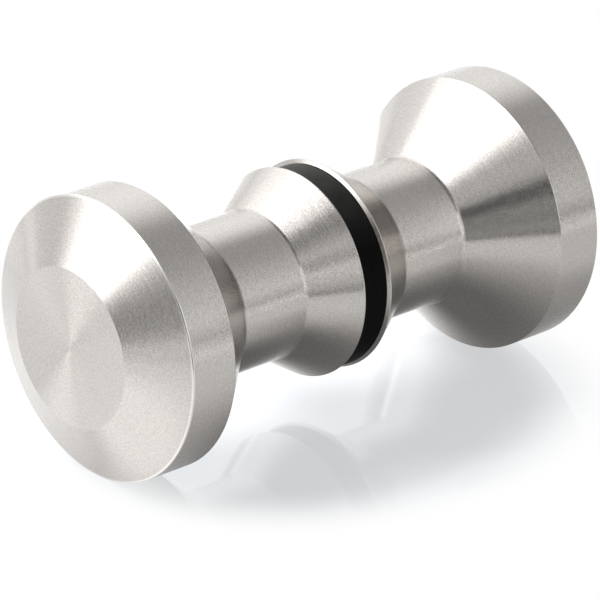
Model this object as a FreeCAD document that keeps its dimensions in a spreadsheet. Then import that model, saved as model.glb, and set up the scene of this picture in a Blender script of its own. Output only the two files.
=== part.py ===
import FreeCAD, Part
import Sketcher
import math
import os

# Double shower door knob, clamped through a hole in a glass door.
# Two equal turned knobs stand base to base, and a black gasket lies on each base.
# The turning axis is row Y, +Z is up, and the origin is where the two gaskets meet.
# Lengths along the axis are counted from a piece's own seat, in millimetres.

# Driving dimensions
SIZES = {
    # Head of a knob
    "head_diameter": 40.0,  # across the rim
    "rim_width": 7.2,  # straight band of the rim, along the axis
    "front_flat_diameter": 22.5,  # flat disc in the middle of the front
    "front_cone_rise": 4.45,  # height of the shallow cone round the front flat
    "back_cone_length": 10.0,  # cone behind the rim, down to the neck
    "rim_chamfer": 0.25,  # breaks both edges of the rim
    # Neck and base of a knob
    "neck_diameter": 21.4,
    "neck_length": 11.3,  # straight neck between the two cones
    "base_diameter": 29.9,
    "base_lip": 0.3,  # thin straight edge of the base
    "base_cone_length": 6.85,  # cone from the lip to the neck
    # Gaskets
    "gasket_diameter": 28.4,
    "gasket_thickness": 2.1,  # one gasket, along the axis
    "gasket_chamfer": 0.25,  # breaks a gasket's outer edges
    # Stud
    "stud_diameter": 8.0,  # outside of the thread
    "stud_length": 36.0,
    "stud_chamfer": 0.8,
    "stud_key_width": 4.0,  # hexagon socket, across its flats
    "stud_key_depth": 4.5,
    "thread_clearance": 0.05,  # at the side, between the stud and a knob's hole
    "stud_end_gap": 1.5,  # from the stud's end to the end of the hole's straight wall
    "drill_point_angle": 118.0,  # full angle of the cone at the hole's bottom, in degrees
    # Sleeve in the hole of the glass
    "sleeve_diameter": 12.0,
    "sleeve_length": 8.0,  # as thick as the glass
    "sleeve_stud_clearance": 0.1,  # at the side, between the sleeve and the stud
    "sleeve_side_clearance": 0.15,  # at the side, between the sleeve and what is round it
    "sleeve_end_clearance": 0.3,  # from the sleeve's end to the bottom of its pocket
}

# Sizes that follow from them, all counted from a knob's base
FORMULAS = {
    "back_cone_start": "=base_lip + base_cone_length + neck_length",
    "rim_start": "=back_cone_start + back_cone_length",
    "rim_end": "=rim_start + rim_width",
    "knob_length": "=rim_end + front_cone_rise",
    "pocket_diameter": "=sleeve_diameter + 2 * sleeve_side_clearance",
    "pocket_depth": "=sleeve_length / 2 - gasket_thickness + sleeve_end_clearance",
    "hole_diameter": "=stud_diameter + 2 * thread_clearance",
    "hole_depth": "=stud_length / 2 - gasket_thickness + stud_end_gap",
}

# How near an edge's radius and place must be to count as the one that is looked for
EDGE_TOLERANCE = 1e-4


def fill_sheet(doc):
    """Write every size into the document's sheet, one row each, and name its cell."""
    sheet = doc.addObject("Spreadsheet::Sheet", "Sizes")
    for row, (alias, content) in enumerate({**SIZES, **FORMULAS}.items(), 1):
        sheet.set(f"A{row}", alias)
        sheet.set(f"B{row}", str(content))
        sheet.setAlias(f"B{row}", alias)
    doc.recompute()
    return sheet


def expression(text):
    """Turn every <size> in a formula into a reference to its cell."""
    return text.replace("<", "Sizes.").replace(">", "")


def value_of(sheet, text):
    """Work out a formula with the sheet's sizes as they are now."""
    return float(sheet.evalExpression(expression(text)))


def new_body(doc, label):
    """Make a body with the sub-part's name."""
    body = doc.addObject("PartDesign::Body", label)
    body.Label = label
    return body


def new_sketch(body, name, plane):
    """Lay a sketch on one of the body's own origin planes."""
    sketch = body.newObject("Sketcher::SketchObject", name)
    support = next(item for item in body.Origin.OriginFeatures if item.Role == plane)
    sketch.AttachmentSupport = (support, [""])
    sketch.MapMode = "FlatFace"
    return sketch


def bind_constraint(sketch, constraint, text):
    """Add a sketch dimension and tie it to the sheet."""
    index = sketch.addConstraint(constraint)
    sketch.setExpression(f"Constraints[{index}]", expression(text))


def draw_profile(sheet, sketch, corners):
    """Draw a closed outline whose corners are (radius, station) expressions, None on an axis."""
    points = []
    for radius, station in corners:
        across = value_of(sheet, radius) if radius else 0.0
        along = value_of(sheet, station) if station else 0.0
        points.append(FreeCAD.Vector(across, along, 0))
    count = len(points)
    for i in range(count):
        sketch.addGeometry(Part.LineSegment(points[i], points[(i + 1) % count]))
    for i in range(count):
        sketch.addConstraint(Sketcher.Constraint("Coincident", i, 2, (i + 1) % count, 1))
    for i, (radius, station) in enumerate(corners):
        if radius:
            bind_constraint(sketch, Sketcher.Constraint("DistanceX", -1, 1, i, 1, points[i].x), radius)
        else:
            sketch.addConstraint(Sketcher.Constraint("PointOnObject", i, 1, -2))
        if station:
            bind_constraint(sketch, Sketcher.Constraint("DistanceY", -1, 1, i, 1, points[i].y), station)
        else:
            sketch.addConstraint(Sketcher.Constraint("PointOnObject", i, 1, -1))


def draw_circle(sheet, sketch, diameter):
    """Draw a circle round the turning axis."""
    size = value_of(sheet, diameter)
    index = sketch.addGeometry(Part.Circle(FreeCAD.Vector(0, 0, 0), FreeCAD.Vector(0, 0, 1), size / 2))
    sketch.addConstraint(Sketcher.Constraint("Coincident", index, 3, -1, 1))
    bind_constraint(sketch, Sketcher.Constraint("Diameter", index, size), diameter)


def draw_hexagon(sheet, sketch, width):
    """Draw a regular hexagon of a given width across its flats, round the turning axis."""
    corner_radius = value_of(sheet, width) / 2 / math.cos(math.radians(30))
    points = []
    for i in range(6):
        spin = FreeCAD.Rotation(FreeCAD.Vector(0, 0, 1), 60 * i)
        points.append(spin.multVec(FreeCAD.Vector(corner_radius, 0, 0)))
    for i in range(6):
        sketch.addGeometry(Part.LineSegment(points[i], points[(i + 1) % 6]))
    for i in range(6):
        sketch.addConstraint(Sketcher.Constraint("Coincident", i, 2, (i + 1) % 6, 1))
    circle = Part.Circle(FreeCAD.Vector(0, 0, 0), FreeCAD.Vector(0, 0, 1), corner_radius)
    guide = sketch.addGeometry(circle, True)
    sketch.addConstraint(Sketcher.Constraint("Coincident", guide, 3, -1, 1))
    for i in range(6):
        sketch.addConstraint(Sketcher.Constraint("PointOnObject", i, 1, guide))
    for i in range(1, 6):
        sketch.addConstraint(Sketcher.Constraint("Equal", 0, i))
    sketch.addConstraint(Sketcher.Constraint("PointOnObject", 0, 1, -1))
    bind_constraint(sketch, Sketcher.Constraint("Diameter", guide, 2 * corner_radius),
                    f"{width} / cos(30 deg)")


def ring_edges(shape, radius, station):
    """Name the round edges that have a given radius and lie at a given place along the axis."""
    found = []
    for number, edge in enumerate(shape.Edges, 1):
        if not isinstance(edge.Curve, Part.Circle):
            continue
        off = max(abs(edge.Curve.Radius - radius), abs(edge.Curve.Center.y - station))
        if off < EDGE_TOLERANCE:
            found.append(f"Edge{number}")
    if not found:
        raise ValueError(f"no round edge of radius {radius} at {station}")
    return found


def chamfer_rings(doc, sheet, body, name, size, rings):
    """Chamfer rings of the body's tip, each given as (radius, station) expressions."""
    doc.recompute()
    base = body.Tip
    edges = []
    for radius, station in rings:
        edges += ring_edges(base.Shape, value_of(sheet, radius), value_of(sheet, station))
    chamfer = body.newObject("PartDesign::Chamfer", name)
    chamfer.Base = (base, edges)
    chamfer.setExpression("Size", expression(size))


def make_knob(doc, sheet, label):
    """One knob, turned from bar: base at zero, head towards +Y, and a blind hole for the stud."""
    body = new_body(doc, label)

    # Outside of the knob
    profile = new_sketch(body, "KnobProfile", "XY_Plane")
    draw_profile(sheet, profile, (
        (None, None),
        ("<base_diameter> / 2", None),
        ("<base_diameter> / 2", "<base_lip>"),
        ("<neck_diameter> / 2", "<base_lip> + <base_cone_length>"),
        ("<neck_diameter> / 2", "<back_cone_start>"),
        ("<head_diameter> / 2", "<rim_start>"),
        ("<head_diameter> / 2", "<rim_end>"),
        ("<front_flat_diameter> / 2", "<knob_length>"),
        (None, "<knob_length>"),
    ))
    turned = body.newObject("PartDesign::Revolution", "Turned")
    turned.Profile = profile
    turned.ReferenceAxis = (profile, ["V_Axis"])
    turned.Angle = 360

    # Stepped hole in the base: a pocket for the sleeve, then the hole for the stud
    centre = new_sketch(body, "HoleCentre", "XZ_Plane")
    draw_circle(sheet, centre, "<hole_diameter>")
    doc.recompute()
    hole = body.newObject("PartDesign::Hole", "StudHole")
    hole.Profile = centre
    hole.HoleCutType = "Counterbore"
    hole.HoleCutCustomValues = True
    hole.DepthType = "Dimension"
    hole.DrillPoint = "Angled"
    hole.DrillForDepth = False
    hole.setExpression("Diameter", expression("<hole_diameter>"))
    hole.setExpression("Depth", expression("<hole_depth>"))
    hole.setExpression("DrillPointAngle", expression("<drill_point_angle>"))
    hole.setExpression("HoleCutDiameter", expression("<pocket_diameter>"))
    hole.setExpression("HoleCutDepth", expression("<pocket_depth>"))

    chamfer_rings(doc, sheet, body, "RimChamfers", "<rim_chamfer>", (
        ("<head_diameter> / 2", "<rim_start>"),
        ("<head_diameter> / 2", "<rim_end>"),
    ))
    return body


def make_gasket(doc, sheet, label):
    """One flat rubber ring: seam face at zero, the other face on its knob's base."""
    body = new_body(doc, label)
    outline = new_sketch(body, "GasketOutline", "XZ_Plane")
    draw_circle(sheet, outline, "<gasket_diameter>")
    draw_circle(sheet, outline, "<pocket_diameter>")
    ring = body.newObject("PartDesign::Pad", "Ring")
    ring.Profile = outline
    ring.Reversed = True
    ring.setExpression("Length", expression("<gasket_thickness>"))
    chamfer_rings(doc, sheet, body, "GasketChamfers", "<gasket_chamfer>", (
        ("<gasket_diameter> / 2", "0"),
        ("<gasket_diameter> / 2", "<gasket_thickness>"),
    ))
    return body


def make_stud(doc, sheet):
    """Headless stud, half in each knob, with a hexagon socket in its -Y end."""
    body = new_body(doc, "threaded_stud")
    outline = new_sketch(body, "StudOutline", "XZ_Plane")
    draw_circle(sheet, outline, "<stud_diameter>")
    rod = body.newObject("PartDesign::Pad", "Rod")
    rod.Profile = outline
    rod.Midplane = True
    rod.setExpression("Length", expression("<stud_length>"))
    chamfer_rings(doc, sheet, body, "EndChamfers", "<stud_chamfer>", (
        ("<stud_diameter> / 2", "-<stud_length> / 2"),
        ("<stud_diameter> / 2", "<stud_length> / 2"),
    ))
    key = new_sketch(body, "KeyOutline", "XZ_Plane")
    key.setExpression("AttachmentOffset.Base.z", expression("<stud_length> / 2"))
    draw_hexagon(sheet, key, "<stud_key_width>")
    socket = body.newObject("PartDesign::Pocket", "KeySocket")
    socket.Profile = key
    socket.setExpression("Length", expression("<stud_key_depth>"))
    return body


def make_sleeve(doc, sheet):
    """Plastic sleeve that keeps the stud off the glass, centred on the seam."""
    body = new_body(doc, "glass_hole_sleeve")
    outline = new_sketch(body, "SleeveOutline", "XZ_Plane")
    draw_circle(sheet, outline, "<sleeve_diameter>")
    draw_circle(sheet, outline, "<stud_diameter> + 2 * <sleeve_stud_clearance>")
    tube = body.newObject("PartDesign::Pad", "Tube")
    tube.Profile = outline
    tube.Midplane = True
    tube.setExpression("Length", expression("<sleeve_length>"))
    return body


def face_inside(body, seat):
    """Stand a piece on the +Y side, its seat at a given distance from the seam."""
    if seat:
        body.setExpression("Placement.Base.y", expression(seat))


def face_outside(body, seat):
    """Turn a piece to face -Y, its seat at a given distance from the seam."""
    body.Placement = FreeCAD.Placement(FreeCAD.Vector(0, 0, 0),
                                       FreeCAD.Rotation(FreeCAD.Vector(0, 0, 1), 180))
    if seat:
        body.setExpression("Placement.Base.y", expression(f"-{seat}"))


def check_document(doc, bodies):
    """Stop if anything failed, or if a sub-part isn't one closed solid."""
    for item in doc.Objects:
        if "Invalid" in item.State or "Error" in item.State:
            raise RuntimeError(f"{item.Label} failed: {item.State}")
    for body in bodies:
        shape = body.Shape
        if shape.isNull() or not shape.isValid() or len(shape.Solids) != 1:
            raise RuntimeError(f"{body.Label} isn't one valid solid")


def main():
    doc = FreeCAD.newDocument("DoubleDoorKnob")
    sheet = fill_sheet(doc)
    bodies = []
    for side, turn_to_side in (("outside", face_outside), ("inside", face_inside)):
        knob = make_knob(doc, sheet, f"{side}_knob")
        turn_to_side(knob, "<gasket_thickness>")
        gasket = make_gasket(doc, sheet, f"{side}_gasket")
        turn_to_side(gasket, None)
        bodies += [knob, gasket]
    bodies.append(make_stud(doc, sheet))
    bodies.append(make_sleeve(doc, sheet))
    doc.recompute()
    check_document(doc, bodies)

    os.makedirs("parts", exist_ok=True)
    for body in bodies:
        body.Shape.exportStep(f"parts/{body.Label}.step")
        box = body.Shape.BoundBox
        print(f"{body.Label}: {body.Shape.Volume:.1f} mm3, y {box.YMin:.2f} to {box.YMax:.2f}")


main()
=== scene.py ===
import math

import bmesh
import bpy
from mathutils import Matrix, Vector


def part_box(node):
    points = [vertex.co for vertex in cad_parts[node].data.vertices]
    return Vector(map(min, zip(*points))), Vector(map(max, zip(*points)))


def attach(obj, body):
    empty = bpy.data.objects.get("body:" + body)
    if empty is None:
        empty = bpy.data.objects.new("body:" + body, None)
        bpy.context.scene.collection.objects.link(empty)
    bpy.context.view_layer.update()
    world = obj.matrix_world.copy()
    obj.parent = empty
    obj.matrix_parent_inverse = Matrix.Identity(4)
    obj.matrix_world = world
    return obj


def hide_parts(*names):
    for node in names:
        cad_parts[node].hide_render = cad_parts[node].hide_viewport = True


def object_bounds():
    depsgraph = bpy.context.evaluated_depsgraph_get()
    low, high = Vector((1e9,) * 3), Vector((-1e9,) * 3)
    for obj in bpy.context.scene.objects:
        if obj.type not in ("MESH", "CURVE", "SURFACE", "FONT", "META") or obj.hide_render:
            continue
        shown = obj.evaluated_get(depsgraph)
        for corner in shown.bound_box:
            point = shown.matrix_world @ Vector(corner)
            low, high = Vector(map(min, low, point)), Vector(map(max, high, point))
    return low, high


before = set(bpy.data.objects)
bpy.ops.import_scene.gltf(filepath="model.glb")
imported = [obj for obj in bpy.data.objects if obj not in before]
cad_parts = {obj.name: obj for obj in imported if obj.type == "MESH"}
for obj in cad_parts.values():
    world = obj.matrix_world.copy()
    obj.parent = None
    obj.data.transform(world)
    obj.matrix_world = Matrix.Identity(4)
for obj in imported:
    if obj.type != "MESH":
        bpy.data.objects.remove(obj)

bl_info = {
    "name": "Double Door Knob",
    "version": (1, 0, 0),
    "blender": (4, 5, 0),
    "location": "View3D > Sidebar > Door Knob",
    "description": "Builds a back-to-back turned door knob on its packed frame",
    "category": "Object",
}

# Frame

CAD_LOW, CAD_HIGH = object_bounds()
BODY = "root"
MM = 0.001
SIDES = {"outside": -1, "inside": 1}
KNOB_LOW, KNOB_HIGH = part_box("inside_knob")
GASKET_LOW, GASKET_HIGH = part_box("inside_gasket")

# Fineness of the turned meshes

KNOB_SEGMENTS = 384
GASKET_SEGMENTS = 256
ARC_STEPS = 6
# An extra point this far from each end of an arc keeps smooth shading off the straight parts
GUARD = 0.02 * MM
# Points closer than this become one, on the axis and where a turned sheet closes
WELD = 0.001 * MM

# Marks on the materials, with a painted highlight and a painted sheen

# How much the marks' slow change follows x, where 1 is how much it follows z
RING_SKEW = 0.8
# Share of each finer octave in the noise of the marks
RING_ROUGHNESS = 0.6
# Moves white noise to a second value that has nothing to do with the first
SECOND_DRAW = (7.0, 3.0, 5.0)
# Distances along the axis, from the rim's front edge, between which its painted highlight line
# fades out
EDGE_HIGHLIGHT_FADE = (0.1 * MM, 0.2 * MM)
# Depth below the front flat over which the flat's steeper marks give way to the cone's
FACED_DEPTH = 0.04 * MM
# Heights above the axis between which a painted sheen turns the gaskets greyer
TOP_SHEEN_HEIGHTS = (6.0 * MM, 14.0 * MM)
# Share of the sleeve's colour in its darker clouds
PLASTIC_SHADE = 0.86

# Studio values

WHITE = (1.0, 1.0, 1.0)
SENSOR_WIDTH = 36.0
# Level that lights matt surfaces, and level that metal reflects where there is no panel
PLAIN_LEVEL = 0.28
SURROUND_LEVEL = 0.437
# Soft panels that metal reflects, most of them fitted by a program to the photograph's tones.
# Each covers those before it: azimuth, elevation, half width, half height, all in degrees,
# then softness and level
STUDIO_PANELS = {
    "right_horizon": (53.9, 22.5, 46.0, 18.9, 0.54, 0.894),
    "far_end": (79.9, 0.8, 26.1, 32.6, 0.5, 0.0),
    "overhead_right": (1.9, 51.5, 19.6, 60.0, 0.44, 0.0),
    "beside_camera": (337.7, 22.4, 10.0, 16.4, 0.9, 1.335),
    "left_wall": (161.4, 35.6, 34.3, 28.2, 0.57, 1.211),
    "left_low": (160.5, -6.5, 27.5, 7.0, 0.67, 2.501),
    "left_dim": (198.8, 4.7, 40.7, 12.2, 0.57, 0.773),
    "over_camera": (305.5, 32.1, 31.7, 14.7, 0.02, 0.631),
    "camera": (299.5, 9.4, 22.0, 14.3, 0.3, 0.0),
    "softbox": (235.6, 46.8, 29.4, 26.9, 0.56, 3.198),
    "softbox_foot": (242.8, 18.0, 10.8, 13.6, 0.03, 2.532),
    "front_low": (248.7, -28.5, 24.3, 13.9, 0.82, 3.199),
    "right_low": (311.9, -11.6, 25.6, 4.8, 0.05, 0.049),
    "right_back_low": (35.5, -15.5, 40.1, 8.9, 0.02, 0.595),
    "softbox_left": (190.8, 47.3, 10.6, 21.4, 0.02, 1.643),
    "foot_low": (232.4, -21.9, 10.8, 34.2, 0.53, 2.902),
    "dark_wedge": (318.3, 21.1, 6.1, 4.9, 0.06, 0.001),
    "window": (296.8, 42.4, 4.2, 19.9, 0.06, 0.556),
    "low_streak": (33.4, -5.7, 2.6, 6.0, 0.25, 2.3),
    "left_strip": (174.8, 16.0, 6.8, 11.0, 0.11, 1.105),
    "corner_strip": (7.5, 16.0, 6.5, 18.0, 0.2, 1.7),
    "corner_shade": (10.0, 54.0, 7.0, 20.0, 0.3, 0.4),
    "edge_strip": (352.0, -3.0, 5.0, 11.0, 0.3, 0.9),
}
# Cosines of the angle from a panel's middle between which it begins, so none shows behind
PANEL_FRONT = (0.02, 0.03)

# The lamp that casts the soft shadow: place in degrees, distance and width in metres, watts
LAMP_AZIMUTH = 197.0
LAMP_ELEVATION = 46.0
LAMP_DISTANCE = 1.0
LAMP_WIDTH = 0.6
LAMP_POWER = 12.0

# Floor values

# Edges in metres from under the knob, to the right in the view and towards the camera
FLOOR_LEFT, FLOOR_RIGHT = -0.8, 0.18
FLOOR_AWAY, FLOOR_NEAR = -0.9, 0.115
FLOOR_COLOUR = (0.86, 0.88, 0.91)
# The tint that the camera sees over the matt floor, how bright it is, and its share
GLOW_TINT = (0.965, 0.982, 1.0)
GLOW_LEVEL = 1.2
GLOW_SHARE = 0.57
# The faint mirror image under the knob
MIRROR_TINT = (0.93, 0.96, 1.0)
MIRROR_ROUGHNESS = 0.06
MIRROR_SHARE = 0.2
# Where the mirror image and the shadow show: x, y, reach along x, reach along y, all in
# millimetres, then softness
MIRROR_PATCH = (0.0, 0.0, 37.0, 40.0, 0.16)
SHADOW_PATCH = (0.0, 0.0, 36.1, 38.7, 0.21)
# What metal reflects of the floor is painted light and painted shadow: one level, and patches
# that each cover those before them, with the same numbers as above and then a level, all fitted
# as the panels were. The patches are painted pools of light and painted shadow, darkest in the
# two patches under the knob
FLOOR_BASE = 1.042
FLOOR_PATCHES = {
    "right": (52.1, 13.2, 66.6, 81.0, 0.26, 0.387),
    "right_back": (79.8, 110.6, 56.8, 122.1, 0.16, 0.647),
    "front_right": (90.3, -80.4, 69.2, 135.9, 0.23, 0.723),
    "front": (8.8, -63.5, 12.4, 26.5, 0.23, 1.16),
    "left_front": (-170.3, -57.1, 149.5, 29.9, 0.05, 0.855),
    "left": (-33.1, 41.5, 42.7, 76.9, 0.14, 1.201),
    "left_back": (-131.2, 37.5, 65.3, 46.4, 0.3, 2.176),
    "shadow_under_front": (7.9, -11.9, 14.8, 14.5, 0.62, 0.157),
    "shadow_under_back": (7.6, 20.2, 13.8, 21.4, 0.67, 0.169),
}


# Properties

def length(name, description, default):
    """A size that the user can change, in metres."""
    return bpy.props.FloatProperty(name=name, description=description, default=default, min=0.0,
                                   precision=5, unit="LENGTH", subtype="DISTANCE")


def angle(name, description, degrees):
    """An angle that the user can change."""
    return bpy.props.FloatProperty(name=name, description=description,
                                   default=math.radians(degrees), unit="ROTATION",
                                   subtype="ANGLE")


def colour(name, description, default):
    """A colour that the user can change."""
    return bpy.props.FloatVectorProperty(name=name, description=description, default=default,
                                         size=3, min=0.0, max=1.0, subtype="COLOR")


def number(name, description, default):
    """A plain number without a unit."""
    return bpy.props.FloatProperty(name=name, description=description, default=default, min=0.0,
                                   precision=3)


class KnobSizes(bpy.types.PropertyGroup):
    """Sizes of a knob, whose radius and length come from the frame"""
    head_radius: length("Head radius", "Radius of the rim", KNOB_HIGH.x)
    knob_length: length("Knob length", "From base to front flat", KNOB_HIGH.y - KNOB_LOW.y)
    rim_width: length("Rim width", "Straight band of the rim", 7.2 * MM)
    flat_radius: length("Front flat radius", "Flat disc in the front", 11.25 * MM)
    front_rise: length("Front cone rise", "Height of the cone round the flat", 4.45 * MM)
    back_cone: length("Back cone length", "Cone from the neck to the rim", 10.0 * MM)
    neck_radius: length("Neck radius", "Radius of the straight neck", 10.7 * MM)
    base_radius: length("Base radius", "Radius of the base", 14.95 * MM)
    base_lip: length("Base lip", "From the seat to the end of the base's straight edge",
                     0.4 * MM)
    break_across: length("Seat break across", "Bevel round the seat, along the radius", 0.5 * MM)
    break_along: length("Seat break along", "Bevel round the seat, along the axis", 0.26 * MM)
    base_length: length("Base length", "From the seat to where the neck starts", 7.15 * MM)
    rim_round: length("Rim round", "Round on the rim's edges", 0.2 * MM)
    fine_round: length("Fine round", "Round on all edges but those of the rim and the neck",
                       0.05 * MM)
    neck_round: length("Neck round", "Hollow round at both ends of the neck", 1.1 * MM)
    hole_radius: length("Hole radius", "Blind hole for the stud", 4.05 * MM)
    hole_depth: length("Hole depth", "From the seat to the end of the hole's straight wall",
                       17.4 * MM)
    hole_tip: length("Hole tip", "Drilled cone at the hole's bottom", 2.43 * MM)
    pocket_depth: length("Pocket depth", "Pocket for the sleeve's end", 2.2 * MM)


class GasketSizes(bpy.types.PropertyGroup):
    """Sizes of a gasket, whose radius and thickness come from the frame"""
    radius: length("Gasket radius", "Outer radius before swelling", GASKET_HIGH.x)
    thickness: length("Gasket thickness", "One gasket, along the axis",
                      GASKET_HIGH.y - GASKET_LOW.y)
    bore_radius: length("Gasket bore", "Hole round the sleeve, in gaskets and knobs", 6.15 * MM)
    swell: length("Swell", "How far clamped rubber stands out past its cut size", 0.25 * MM)
    sag: length("Sag", "How far a gasket hangs down on the sleeve", 0.14 * MM)
    knob_side_round: length("Knob side round", "Outer edge next to the knob", 0.12 * MM)
    seam_side_round: length("Seam side round", "All other edges", 0.04 * MM)


class FinishColours(bpy.types.PropertyGroup):
    """Colours and marks of the materials, with a painted highlight on the steel and a painted
    sheen on the rubber
    """
    steel: colour("Steel", "Turned stainless steel", (0.776, 0.738, 0.702))
    steel_dark: colour("Steel, dark", "Darker turning marks", (0.582, 0.554, 0.527))
    # Painted highlight: a pale colour on the rim's front edge stands in for a line of reflected
    # light
    steel_edge_highlight: colour("Steel, edge", "Pale line on the rim's front edge", (0.930, 0.900, 0.870))
    rubber: colour("Rubber", "Gaskets", (0.0025, 0.0025, 0.0025))
    # Painted sheen: the greyer colour of the gaskets' upper side stands in for reflected light
    rubber_top_sheen: colour("Rubber, painted sheen", "Greyer upper side of the gaskets",
                        (0.045, 0.045, 0.043))
    machined: colour("Machined steel", "Stud", (0.560, 0.550, 0.540))
    plastic: colour("Plastic", "Sleeve", (0.780, 0.780, 0.750))
    steel_roughness: number("Steel roughness", "Average along the turning marks", 0.15)
    marks_slope: number("Marks slope", "How steep the turning marks are", 0.27)
    faced_slope: number("Faced slope", "How steep the marks on the front flats are", 0.5)


class StageSettings(bpy.types.PropertyGroup):
    """Where the camera stands"""
    azimuth: angle("Azimuth", "Camera's turn about +Z, 0 looks along +Y", 47.572)
    elevation: angle("Elevation", "Camera's height above the horizon", 22.521)
    distance: length("Distance", "From the camera to the knob's middle, along the view", 0.59622)
    across: length("Across", "How far the knob's middle is right of the view's middle", 0.61 * MM)
    above: length("Above", "How far the knob's middle is above the view's middle", 4.5 * MM)
    lens: number("Lens", "Focal length in millimetres", 257.74)


# Node graphs

class Term:
    """A socket of a node graph, which Python sums can be written with."""

    def __init__(self, graph, socket):
        self.graph = graph
        self.socket = socket

    def __add__(self, other):
        return self.graph.maths("ADD", self, other)

    __radd__ = __add__

    def __sub__(self, other):
        return self.graph.maths("SUBTRACT", self, other)

    def __rsub__(self, other):
        return self.graph.maths("SUBTRACT", other, self)

    def __neg__(self):
        return self.graph.maths("SUBTRACT", 0.0, self)

    def __mul__(self, other):
        return self.graph.maths("MULTIPLY", self, other)

    __rmul__ = __mul__

    def __truediv__(self, other):
        return self.graph.maths("DIVIDE", self, other)

    def __rtruediv__(self, other):
        return self.graph.maths("DIVIDE", other, self)

    def __pow__(self, other):
        return self.graph.maths("POWER", self, other)

    def absolute(self):
        return self.graph.maths("ABSOLUTE", self)

    def root(self):
        return self.graph.maths("SQRT", self)

    def cosine(self):
        return self.graph.maths("COSINE", self)

    def sine(self):
        return self.graph.maths("SINE", self)

    def at_least(self, low):
        return self.graph.maths("MAXIMUM", self, low)

    def clamped(self):
        """The same, held between 0 and 1."""
        return self.graph.maths("MINIMUM", self.at_least(0.0), 1.0)

    def between(self, low, high):
        """Low where this is 0, high where it is 1, and in proportion elsewhere."""
        return self * (high - low) + low

    def step(self, low, high):
        """0 below low, 1 above high and smooth between them."""
        return self.graph.node("ShaderNodeMapRange", {"interpolation_type": "SMOOTHSTEP"},
                               {"Value": self, "From Min": low, "From Max": high})


class Graph:
    """A node tree with one way to add a node."""

    def __init__(self, tree):
        self.tree = tree

    def place(self, kind, settings=None, inputs=None):
        """Add a node, then set it, then fill its sockets with values or links."""
        made = self.tree.nodes.new(kind)
        for name, value in (settings or {}).items():
            setattr(made, name, value)
        for key, value in (inputs or {}).items():
            socket = made.inputs[key]
            if isinstance(value, Term):
                self.tree.links.new(value.socket, socket)
            elif socket.type == "RGBA":
                socket.default_value = (*value, 1.0)
            else:
                socket.default_value = value
        return made

    def node(self, kind, settings=None, inputs=None, output=0):
        """Add a node and give one of its outputs as a term."""
        return Term(self, self.place(kind, settings, inputs).outputs[output])

    def maths(self, operation, *numbers):
        """Maths with numbers."""
        return self.node("ShaderNodeMath", {"operation": operation}, dict(enumerate(numbers)))

    def whole(self, operation, first, second):
        """Maths with whole numbers."""
        return self.node("FunctionNodeIntegerMath", {"operation": operation},
                         {0: first, 1: second})

    def vector(self, operation, *vectors, output="Vector", **others):
        """Maths with vectors."""
        return self.node("ShaderNodeVectorMath", {"operation": operation},
                         {**dict(enumerate(vectors)), **others}, output)

    def combine(self, x, y, z):
        """A vector made of three numbers."""
        return self.node("ShaderNodeCombineXYZ", None, {"X": x, "Y": y, "Z": z})

    def split(self, vector):
        """The three numbers of a vector."""
        parts = self.place("ShaderNodeSeparateXYZ", None, {0: vector})
        return [Term(self, socket) for socket in parts.outputs]

    def noise(self, point, scale, detail, roughness=0.5):
        """Smooth noise between 0 and 1, mostly near a half."""
        return self.node("ShaderNodeTexNoise", {"noise_dimensions": "3D"},
                         {"Vector": point, "Scale": scale, "Detail": detail,
                          "Roughness": roughness})

    def bump(self, height, strength, distance):
        """The surface's normal, tilted as if the surface had a height."""
        return self.node("ShaderNodeBump", None,
                         {"Height": height, "Strength": strength, "Distance": distance})

    def mix_colour(self, factor, first, second):
        """The first colour where the factor is 0, the second where it is 1."""
        return self.node("ShaderNodeMix", {"data_type": "RGBA"},
                         {"Factor": factor, 6: first, 7: second}, 2)

    def mix_shader(self, factor, first, second):
        """The first shader where the factor is 0, the second where it is 1."""
        return self.node("ShaderNodeMixShader", None, {0: factor, 1: first, 2: second})

    def emission(self, tint, strength):
        """A shader that shines by itself."""
        return self.node("ShaderNodeEmission", None, {"Color": tint, "Strength": strength})


def new_material(name):
    """An empty material and the graph of its nodes."""
    material = bpy.data.materials.new(name)
    material.use_nodes = True
    material.node_tree.nodes.clear()
    return material, Graph(material.node_tree)


def finish_material(graph, shader):
    """Send a shader to the material's output."""
    graph.place("ShaderNodeOutputMaterial", None, {"Surface": shader})


def object_point(graph):
    """The point that is shaded, in the object's own axes."""
    return graph.node("ShaderNodeTexCoord", output="Object")


def ray_kinds(graph):
    """Whether a ray comes from the camera, and whether a glossy surface sends it."""
    path = graph.place("ShaderNodeLightPath")
    return (Term(graph, path.outputs[kind]) for kind in ("Is Camera Ray", "Is Glossy Ray"))


# Materials

def tilt_across_marks(graph, across, up, slope):
    """The surface's normal, tilted by a slope across the turning marks."""
    normal = graph.node("ShaderNodeNewGeometry", output="Normal")
    around = graph.combine(-up, 0.0, across)
    over = graph.vector("NORMALIZE", graph.vector("CROSS_PRODUCT", normal, around))
    lean = graph.vector("SCALE", over, Scale=slope)
    return graph.vector("NORMALIZE", graph.vector("ADD", normal, lean))


def ring_noise(graph, point, scale, drift, detail):
    """Noise in rings round the Y axis, which drifts more slowly along each ring than over it."""
    across, along, up = graph.split(point)
    radius = (across * across + up * up).root()
    rings = graph.combine(radius * scale, along * scale, (across * RING_SKEW + up) * drift)
    return graph.noise(rings, 1.0, detail, RING_ROUGHNESS)


def random_slope(graph, point):
    """A slope between -1 and 1 that differs from any point to the next, mostly near 0."""
    first, second = (
        graph.node("ShaderNodeTexWhiteNoise", {"noise_dimensions": "3D"}, {"Vector": place})
        for place in (point, graph.vector("ADD", point, SECOND_DRAW))
    )
    return first + second - 1.0


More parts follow.
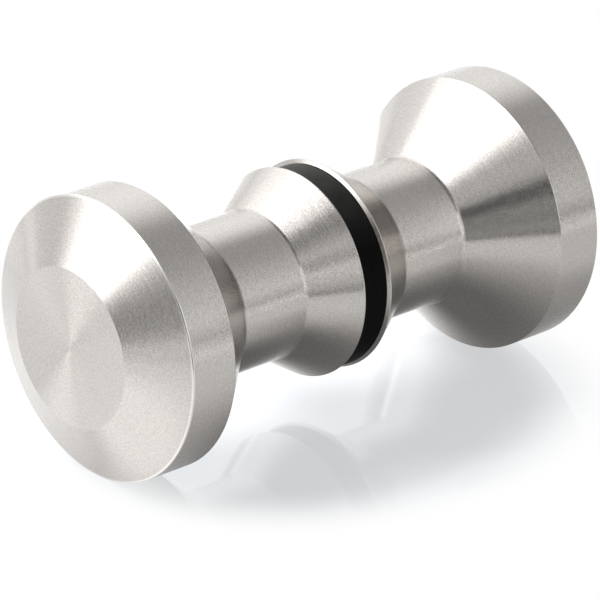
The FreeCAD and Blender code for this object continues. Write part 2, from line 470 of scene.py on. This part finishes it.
def turned_steel(colours, edge_station, flat_station):
    """Stainless steel with turning marks round the axis and a painted highlight line on the rim's
    edge.
    """
    material, graph = new_material("turned_steel")
    point = object_point(graph)
    across, along, up = graph.split(point)
    rings = ring_noise(graph, point, scale=4500.0, drift=1500.0, detail=2.0)
    grain = graph.noise(point, scale=4500.0, detail=2.0)
    station = along.absolute()
    faced = station.step(flat_station - FACED_DEPTH, flat_station)
    steepness = faced.between(colours.marks_slope, colours.faced_slope)
    slope = random_slope(graph, point) * steepness + rings.between(-0.02, 0.02)
    tone = rings.between(-0.4, 0.4) + grain.between(-0.9, 0.9) + 0.5
    turned = graph.mix_colour(tone.clamped(), colours.steel_dark, colours.steel)
    # Painted highlight: the rim's front edge gets the pale colour, which fades out along the axis
    off_edge_highlight = (station - edge_station).absolute().step(*EDGE_HIGHLIGHT_FADE)
    roughness = rings.between(-0.05, 0.05) + grain.between(-0.04, 0.04)
    shader = graph.node("ShaderNodeBsdfPrincipled", None, {
        "Base Color": graph.mix_colour(off_edge_highlight, colours.steel_edge_highlight, turned),
        "Metallic": 1.0,
        "Roughness": roughness + colours.steel_roughness,
        "Normal": tilt_across_marks(graph, across, up, slope),
    })
    finish_material(graph, shader)
    return material


def black_rubber(colours):
    """Smooth moulded rubber, with a painted sheen that makes its upper side greyer."""
    material, graph = new_material("black_rubber")
    point = object_point(graph)
    _, _, up = graph.split(point)
    mottle = graph.noise(point, scale=260.0, detail=4.0)
    grain = graph.noise(point, scale=4200.0, detail=2.0)
    # Painted sheen: greyer towards the top of the gaskets, mottled by the noise
    top_sheen = up.step(*TOP_SHEEN_HEIGHTS) * mottle.between(0.2, 1.4)
    shader = graph.node("ShaderNodeBsdfPrincipled", None, {
        "Base Color": graph.mix_colour(top_sheen.clamped(), colours.rubber, colours.rubber_top_sheen),
        "Roughness": mottle.between(0.34, 0.54),
        "Specular IOR Level": 0.06,
        "Normal": graph.bump(grain, strength=0.2, distance=0.02 * MM),
    })
    finish_material(graph, shader)
    return material


def machined_steel(colours):
    """Plain machined steel with marks round the axis, for the stud."""
    material, graph = new_material("machined_steel")
    rings = ring_noise(graph, object_point(graph), scale=6000.0, drift=60.0, detail=3.0)
    tone = rings.between(-0.1, 1.1).clamped()
    shader = graph.node("ShaderNodeBsdfPrincipled", None, {
        "Base Color": graph.mix_colour(tone, colours.steel_dark, colours.machined),
        "Metallic": 1.0,
        "Roughness": rings.between(0.25, 0.45),
        "Normal": graph.bump(rings, strength=0.3, distance=0.02 * MM),
    })
    finish_material(graph, shader)
    return material


def natural_plastic(colours):
    """Milky moulded plastic, for the sleeve."""
    material, graph = new_material("natural_plastic")
    cloud = graph.noise(object_point(graph), scale=300.0, detail=3.0)
    shade = tuple(PLASTIC_SHADE * part for part in colours.plastic)
    shader = graph.node("ShaderNodeBsdfPrincipled", None, {
        "Base Color": graph.mix_colour(cloud, shade, colours.plastic),
        "Roughness": cloud.between(0.38, 0.53),
        "Normal": graph.bump(cloud, strength=0.1, distance=0.05 * MM),
    })
    finish_material(graph, shader)
    return material


# Turned pieces

def add_object(name, data):
    """A new object in the scene."""
    made = bpy.data.objects.new(name, data)
    bpy.context.scene.collection.objects.link(made)
    return made


def rounded_corner(before, corner, after, bend):
    """Points of an arc that rounds a corner, with a guard point on each side."""
    from_before = (before - corner).normalized()
    to_after = (after - corner).normalized()
    half = from_before.angle(to_after) / 2
    centre = corner + (from_before + to_after).normalized() * (bend / math.sin(half))
    cut = bend / math.tan(half)
    first = corner + from_before * cut
    last = corner + to_after * cut
    swing = (first - centre).angle_signed(last - centre)
    arc = [centre + Matrix.Rotation(-swing * step / ARC_STEPS, 2) @ (first - centre)
           for step in range(ARC_STEPS + 1)]
    return [first + from_before * GUARD, *arc, last + to_after * GUARD]


def rounded_outline(corners):
    """Points of an outline whose corners are (radius, station, round)."""
    places = [Vector(corner[:2]) for corner in corners]
    points = []
    for index, (_, _, bend) in enumerate(corners):
        if bend:
            points += rounded_corner(*places[index - 1:index + 2], bend)
        else:
            points.append(places[index])
    return points


TURNING_INPUTS = {
    "Outline": "NodeSocketObject",
    "Segments": "NodeSocketInt",
    "Finish": "NodeSocketMaterial",
}


def turning_tree():
    """Geometry nodes that turn an outline about the Y axis."""
    tree = bpy.data.node_groups.new("Turned Piece", "GeometryNodeTree")
    for name, kind in TURNING_INPUTS.items():
        tree.interface.new_socket(name, in_out="INPUT", socket_type=kind)
    tree.interface.new_socket("Piece", in_out="OUTPUT", socket_type="NodeSocketGeometry")
    graph = Graph(tree)
    given = graph.place("NodeGroupInput")
    source, segments, finish = (Term(graph, given.outputs[name]) for name in TURNING_INPUTS)
    outline = graph.node("GeometryNodeObjectInfo", None, {"Object": source}, "Geometry")
    rows = graph.node("GeometryNodeAttributeDomainSize", None, {"Geometry": outline},
                      "Point Count")
    columns = graph.whole("ADD", segments, 1)
    sheet = graph.node("GeometryNodeMeshGrid", None,
                       {"Size X": 1.0, "Size Y": 1.0, "Vertices X": rows,
                        "Vertices Y": columns})
    index = graph.node("GeometryNodeInputIndex")
    row = graph.whole("DIVIDE_FLOOR", index, columns)
    column = graph.whole("MODULO", index, columns)
    point = graph.node("GeometryNodeSampleIndex",
                       {"data_type": "FLOAT_VECTOR", "domain": "POINT"},
                       {"Geometry": outline, "Value": graph.node("GeometryNodeInputPosition"),
                        "Index": row})
    radius, station, _ = graph.split(point)
    turn = column / segments * math.tau
    place = graph.combine(radius * turn.cosine(), station, radius * turn.sine())
    turned = graph.node("GeometryNodeSetPosition", None, {"Geometry": sheet, "Position": place})
    closed = graph.node("GeometryNodeMergeByDistance", None,
                        {"Geometry": turned, "Distance": WELD})
    smooth = graph.node("GeometryNodeSetShadeSmooth", None, {"Geometry": closed})
    solid = graph.node("GeometryNodeRealizeInstances", None, {"Geometry": smooth})
    finished = graph.node("GeometryNodeSetMaterial", None,
                          {"Geometry": solid, "Material": finish})
    graph.place("NodeGroupOutput", None, {0: finished})
    return tree


def outline_object(name, corners, side):
    """An object whose vertices are the points of an outline, on one side of the seam."""
    points = [(point.x, side * point.y, 0.0) for point in rounded_outline(corners)]
    edges = [(index, index + 1) for index in range(len(points) - 1)]
    mesh = bpy.data.meshes.new(name)
    mesh.from_pydata(points, edges, [])
    return add_object(name, mesh)


def turn_piece(name, corners, segments, material, side):
    """Turn an outline about the Y axis into a closed plain mesh, on one side of the seam."""
    outline = outline_object(name + "_outline", corners, side)
    piece = add_object(name, bpy.data.meshes.new(name + "_holder"))
    modifier = piece.modifiers.new("Turned Piece", "NODES")
    modifier.node_group = bpy.data.node_groups.get("Turned Piece") or turning_tree()
    values = {"Outline": outline, "Segments": segments, "Finish": material}
    for item in modifier.node_group.interface.items_tree:
        if item.in_out == "INPUT":
            modifier[item.identifier] = values[item.name]
    depsgraph = bpy.context.evaluated_depsgraph_get()
    mesh = bpy.data.meshes.new_from_object(piece.evaluated_get(depsgraph))
    mesh.name = name
    face_outwards(mesh)
    piece.modifiers.remove(modifier)
    piece.data = mesh
    bpy.data.objects.remove(outline)
    return piece


def face_outwards(mesh):
    """Make every face of a closed mesh point away from its inside."""
    work = bmesh.new()
    work.from_mesh(mesh)
    bmesh.ops.recalc_face_normals(work, faces=work.faces)
    if work.calc_volume(signed=True) < 0:
        bmesh.ops.reverse_faces(work, faces=work.faces)
    work.to_mesh(mesh)
    work.free()


def seat_piece(piece, node):
    """Let a piece stand for a CAD node, on that node's body."""
    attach(piece, BODY)
    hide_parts(node)


# Camera and light

def direction(azimuth, elevation):
    """Unit vector towards a place on the sky, in radians, with azimuth from +X towards +Y."""
    level = math.cos(elevation)
    return Vector((level * math.cos(azimuth), level * math.sin(azimuth), math.sin(elevation)))


def view_axes(settings):
    """The camera's right, up and backward directions."""
    right = direction(settings.azimuth, 0.0)
    back = direction(settings.azimuth - math.pi / 2, settings.elevation)
    return right, back.cross(right), back


def place_camera(settings):
    """Put the camera where the photograph was taken from."""
    right, up, back = view_axes(settings)
    data = bpy.data.cameras.new("camera")
    data.sensor_width = SENSOR_WIDTH
    data.lens = settings.lens
    camera = add_object("camera", data)
    turned = Matrix((right, up, back)).transposed().to_4x4()
    spot = back * settings.distance - right * settings.across - up * settings.above
    camera.matrix_world = Matrix.Translation(spot) @ turned
    bpy.context.scene.camera = camera


def add_lamp():
    """A round lamp that faces the knob and that no metal reflects."""
    data = bpy.data.lights.new("shadow_lamp", "AREA")
    data.shape = "DISK"
    data.size = LAMP_WIDTH
    data.energy = LAMP_POWER
    lamp = add_object("shadow_lamp", data)
    away = direction(math.radians(LAMP_AZIMUTH), math.radians(LAMP_ELEVATION))
    lamp.location = away * LAMP_DISTANCE
    lamp.rotation_euler = away.to_track_quat("Z", "Y").to_euler()
    lamp.visible_glossy = False


def inside(reach, softness):
    """1 where reach is under 1 and 0 where it is over 1, with a soft edge."""
    return 1.0 - reach.step(1.0 - softness, 1.0 + softness)


def panel_window(graph, way, azimuth, elevation, half_width, half_height, softness):
    """1 inside a rounded panel that is seen in a direction, and 0 outside it."""
    toward = direction(math.radians(azimuth), math.radians(elevation))
    side = Vector((0.0, 0.0, 1.0)).cross(toward).normalized()
    above = toward.cross(side)
    ahead, across, along = (graph.vector("DOT_PRODUCT", way, tuple(axis), output="Value")
                            for axis in (toward, side, above))
    depth = ahead.at_least(PANEL_FRONT[0])
    wide = (across / depth / math.tan(math.radians(half_width))) ** 4.0
    high = (along / depth / math.tan(math.radians(half_height))) ** 4.0
    return inside((wide + high) ** 0.25, softness) * ahead.step(*PANEL_FRONT)


def light_world():
    """White to the camera, panels to glossy surfaces, and a plain level to matt ones."""
    world = bpy.data.worlds.new("studio")
    bpy.context.scene.world = world
    world.use_nodes = True
    world.node_tree.nodes.clear()
    graph = Graph(world.node_tree)
    to_camera, to_gloss = ray_kinds(graph)
    way = graph.node("ShaderNodeTexCoord", output="Generated")
    seen = SURROUND_LEVEL
    for *shape, level in STUDIO_PANELS.values():
        seen = panel_window(graph, way, *shape).between(seen, level)
    strength = to_camera.between(to_gloss.between(PLAIN_LEVEL, seen), 1.0)
    shade = graph.node("ShaderNodeBackground", None, {"Color": WHITE, "Strength": strength})
    graph.place("ShaderNodeOutputWorld", None, {"Surface": shade})


# Floor

def floor_window(x, y, centre_x, centre_y, reach_x, reach_y, softness):
    """1 inside an oval patch of the floor, and 0 outside it."""
    across = (x - centre_x * MM) / (reach_x * MM)
    along = (y - centre_y * MM) / (reach_y * MM)
    return inside((across * across + along * along).root(), softness)


def pale_floor():
    """White floor with the knob's shadow and a faint mirror image, fading into white."""
    material, graph = new_material("pale_floor")
    to_camera, to_gloss = ray_kinds(graph)
    x, y, _ = graph.split(object_point(graph))
    seen = FLOOR_BASE
    for *shape, level in FLOOR_PATCHES.values():
        seen = floor_window(x, y, *shape).between(seen, level)
    matt = graph.node("ShaderNodeBsdfDiffuse", None, {"Color": FLOOR_COLOUR})
    # Glossy rays see this painted light and painted shadow in place of the matt floor
    reflected = graph.mix_shader(to_gloss, matt, graph.emission(WHITE, seen))
    glow = graph.emission(GLOW_TINT, GLOW_LEVEL)
    glowing = graph.mix_shader(to_camera * GLOW_SHARE, reflected, glow)
    mirror = graph.node("ShaderNodeBsdfGlossy", None,
                        {"Color": MIRROR_TINT, "Roughness": MIRROR_ROUGHNESS})
    mirrored = to_camera * floor_window(x, y, *MIRROR_PATCH) * MIRROR_SHARE
    near = graph.mix_shader(mirrored, glowing, mirror)
    far = to_camera * (1.0 - floor_window(x, y, *SHADOW_PATCH))
    finish_material(graph, graph.mix_shader(far, near, graph.emission(WHITE, 1.0)))
    return material


def make_floor(settings):
    """A plain sheet under the knob, square to the view."""
    right, _, back = view_axes(settings)
    front = Vector((back.x, back.y, 0.0)).normalized()
    level = Vector((0.0, 0.0, CAD_LOW.z))
    corners = ((FLOOR_LEFT, FLOOR_NEAR), (FLOOR_RIGHT, FLOOR_NEAR),
               (FLOOR_RIGHT, FLOOR_AWAY), (FLOOR_LEFT, FLOOR_AWAY))
    mesh = bpy.data.meshes.new("floor")
    mesh.from_pydata([right * side + front * depth + level for side, depth in corners],
                     [], [(0, 1, 2, 3)])
    mesh.materials.append(pale_floor())
    add_object("floor", mesh)


# Operators

class DOORKNOB_OT_stage(bpy.types.Operator):
    """Set up the floor, the studio light and the camera"""
    bl_idname = "doorknob.stage"
    bl_label = "Set Up Stage"

    def execute(self, context):
        settings = context.scene.stage_settings
        context.scene.view_settings.view_transform = "Standard"
        place_camera(settings)
        make_floor(settings)
        light_world()
        add_lamp()
        return {"FINISHED"}


class DOORKNOB_OT_knobs(bpy.types.Operator):
    """Turn both knobs, and give them their turned steel"""
    bl_idname = "doorknob.knobs"
    bl_label = "Make Knobs"

    def execute(self, context):
        sizes = context.scene.knob_sizes
        gasket = context.scene.gasket_sizes
        seat = gasket.thickness
        pocket = seat + sizes.pocket_depth
        hole_end = seat + sizes.hole_depth
        lip = seat + sizes.base_lip
        neck_start = seat + sizes.base_length
        front = seat + sizes.knob_length
        rim_end = front - sizes.front_rise
        rim_start = rim_end - sizes.rim_width
        neck_end = rim_start - sizes.back_cone
        corners = (
            (0.0, hole_end + sizes.hole_tip, 0.0),
            (sizes.hole_radius, hole_end, sizes.fine_round),
            (sizes.hole_radius, pocket, sizes.fine_round),
            (gasket.bore_radius, pocket, sizes.fine_round),
            (gasket.bore_radius, seat, sizes.fine_round),
            (sizes.base_radius - sizes.break_across, seat, sizes.fine_round),
            (sizes.base_radius, seat + sizes.break_along, sizes.fine_round),
            (sizes.base_radius, lip, sizes.fine_round),
            (sizes.neck_radius, neck_start, sizes.neck_round),
            (sizes.neck_radius, neck_end, sizes.neck_round),
            (sizes.head_radius, rim_start, sizes.rim_round),
            (sizes.head_radius, rim_end, sizes.rim_round),
            (sizes.flat_radius, front, sizes.fine_round),
            (0.0, front, 0.0),
        )
        steel = turned_steel(context.scene.finish_colours, rim_end, front)
        for name, side in SIDES.items():
            knob = turn_piece(f"{name}_turned_knob", corners, KNOB_SEGMENTS, steel, side)
            seat_piece(knob, f"{name}_knob")
        return {"FINISHED"}


class DOORKNOB_OT_gaskets(bpy.types.Operator):
    """Make the two rubber gaskets between the knobs"""
    bl_idname = "doorknob.gaskets"
    bl_label = "Make Gaskets"

    def execute(self, context):
        sizes = context.scene.gasket_sizes
        middle = sizes.thickness / 2
        rim = sizes.radius + sizes.swell
        corners = (
            (sizes.bore_radius, middle, 0.0),
            (sizes.bore_radius, 0.0, sizes.seam_side_round),
            (rim, 0.0, sizes.seam_side_round),
            (rim, sizes.thickness, sizes.knob_side_round),
            (sizes.bore_radius, sizes.thickness, sizes.seam_side_round),
            (sizes.bore_radius, middle, 0.0),
        )
        rubber = black_rubber(context.scene.finish_colours)
        for name, side in SIDES.items():
            gasket = turn_piece(f"{name}_rubber_gasket", corners, GASKET_SEGMENTS, rubber, side)
            gasket.data.transform(Matrix.Translation((0.0, 0.0, -sizes.sag)))
            seat_piece(gasket, f"{name}_gasket")
        return {"FINISHED"}


class DOORKNOB_OT_fittings(bpy.types.Operator):
    """Give the stud and the sleeve inside the knobs their finishes"""
    bl_idname = "doorknob.fittings"
    bl_label = "Finish Inner Fittings"

    def execute(self, context):
        colours = context.scene.finish_colours
        finishes = {
            "threaded_stud": machined_steel(colours),
            "glass_hole_sleeve": natural_plastic(colours),
        }
        for node, material in finishes.items():
            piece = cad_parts[node]
            piece.data.materials.clear()
            piece.data.materials.append(material)
        return {"FINISHED"}


# Panel and registration

class DOORKNOB_PT_panel(bpy.types.Panel):
    """All settings and operators, in the sidebar"""
    bl_idname = "DOORKNOB_PT_panel"
    bl_label = "Double Door Knob"
    bl_space_type = "VIEW_3D"
    bl_region_type = "UI"
    bl_category = "Door Knob"

    def draw(self, context):
        layout = self.layout
        for name in PROPERTY_GROUPS:
            settings = getattr(context.scene, name)
            box = layout.box()
            for item in settings.__annotations__:
                box.prop(settings, item)
        for operator in OPERATORS:
            layout.operator(operator.bl_idname)


PROPERTY_GROUPS = {
    "knob_sizes": KnobSizes,
    "gasket_sizes": GasketSizes,
    "finish_colours": FinishColours,
    "stage_settings": StageSettings,
}
OPERATORS = (DOORKNOB_OT_stage, DOORKNOB_OT_knobs, DOORKNOB_OT_gaskets, DOORKNOB_OT_fittings)


def register():
    for name, group in PROPERTY_GROUPS.items():
        bpy.utils.register_class(group)
        setattr(bpy.types.Scene, name, bpy.props.PointerProperty(type=group))
    for item in (*OPERATORS, DOORKNOB_PT_panel):
        bpy.utils.register_class(item)


def unregister():
    for item in (DOORKNOB_PT_panel, *reversed(OPERATORS)):
        bpy.utils.unregister_class(item)
    for name, group in PROPERTY_GROUPS.items():
        delattr(bpy.types.Scene, name)
        bpy.utils.unregister_class(group)


def main():
    register()
    bpy.ops.doorknob.stage()
    bpy.ops.doorknob.knobs()
    bpy.ops.doorknob.gaskets()
    bpy.ops.doorknob.fittings()


if __name__ == "__main__":
    main()
